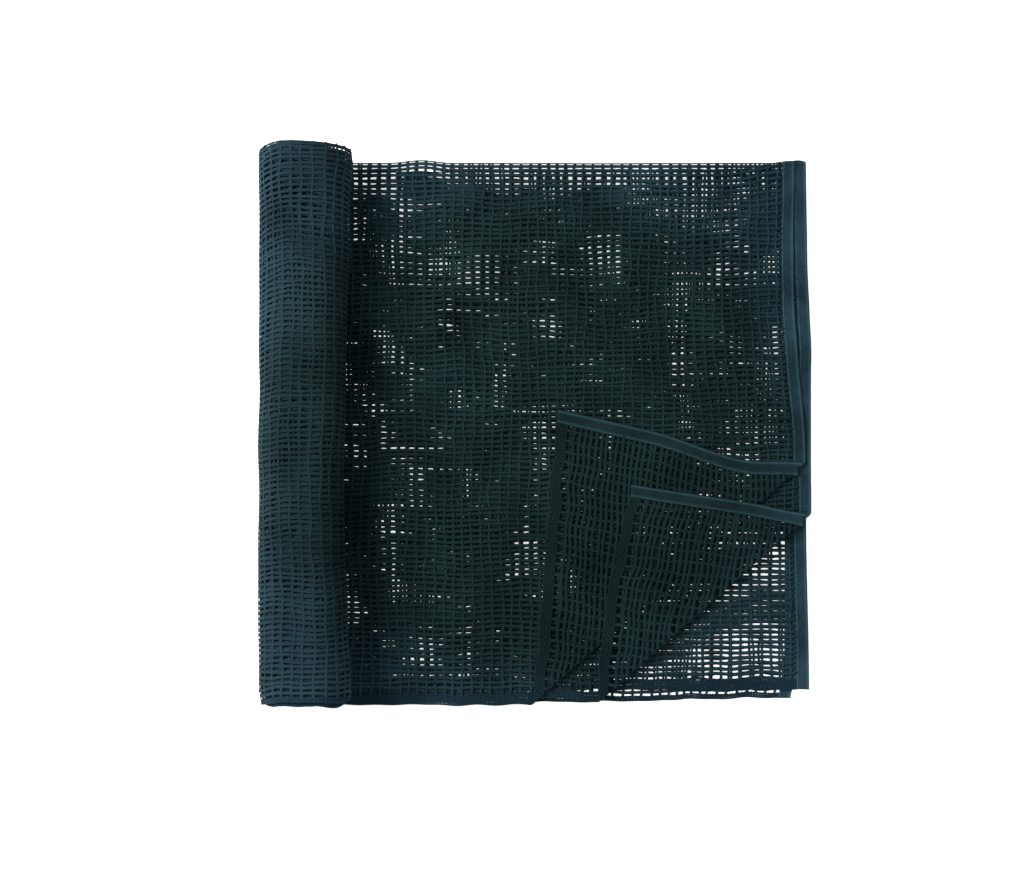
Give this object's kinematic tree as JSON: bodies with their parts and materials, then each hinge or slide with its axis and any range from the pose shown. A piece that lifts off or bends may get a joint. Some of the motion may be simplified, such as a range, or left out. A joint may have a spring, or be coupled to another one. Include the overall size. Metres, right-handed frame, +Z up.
{
  "type": "folded net cloth",
  "caption": "Fine rectangular-mesh net cloth with hemmed ends, folded in four and part rolled up, with two of its corners turned back.",
  "frame": {"origin": "middle of the folded cloth's box, on the surface it lies on", "axes": "+X from the roll to the hemmed ends, +Y from the woven edges to the folded edges, +Z up"},
  "size_m": [0.457, 0.45, 0.0553],
  "materials": {
    "net": "matte knitted mesh yarn",
    "hem_tape": "matte close-woven tape",
    "selvage": "matte dense woven edge"
  },
  "bodies": {
    "folded_cloth": {"layer_1_net": "net", "layer_1_selvage": "selvage", "layer_1_hem": "hem_tape", "layer_2_net": "net", "layer_2_selvage": "selvage", "layer_2_hem": "hem_tape", "layer_3_net": "net", "layer_3_selvage": "selvage", "layer_3_hem": "hem_tape", "layer_4_net": "net", "layer_4_selvage": "selvage", "layer_4_hem": "hem_tape", "upper_pair_fold": "net", "lower_pair_fold": "net", "roll_1_net": "net", "roll_1_selvage": "selvage", "roll_2_net": "net", "roll_2_selvage": "selvage", "roll_3_net": "net", "roll_3_selvage": "selvage", "roll_4_net": "net", "roll_4_selvage": "selvage", "roll_upper_fold": "net", "roll_lower_fold": "net", "core_fold_outer": "net", "core_fold_inner": "net"},
    "flap_1": {"flap_1_net": "net", "flap_1_selvage": "selvage", "flap_1_hem": "hem_tape"},
    "flap_2": {"flap_2_net": "net", "flap_2_selvage": "selvage", "flap_2_hem": "hem_tape"}
  },
  "joints": [
    {"name": "flap_1_turn", "type": "hinge", "parent": "folded_cloth", "child": "flap_1", "pos_m": [0.106, -0.12625, 0.0052], "axis": [0.7534, 0.6575, 0], "range_deg": [0, 180]},
    {"name": "flap_2_turn", "type": "hinge", "parent": "folded_cloth", "child": "flap_2", "pos_m": [0.1365, -0.14525, 0.00532], "axis": [0.7545, 0.6563, 0], "range_deg": [0, 180]}
  ],
  "couplings": [
    {"joint": "flap_2_turn", "follows": "flap_1_turn", "ratio": 1}
  ]
}
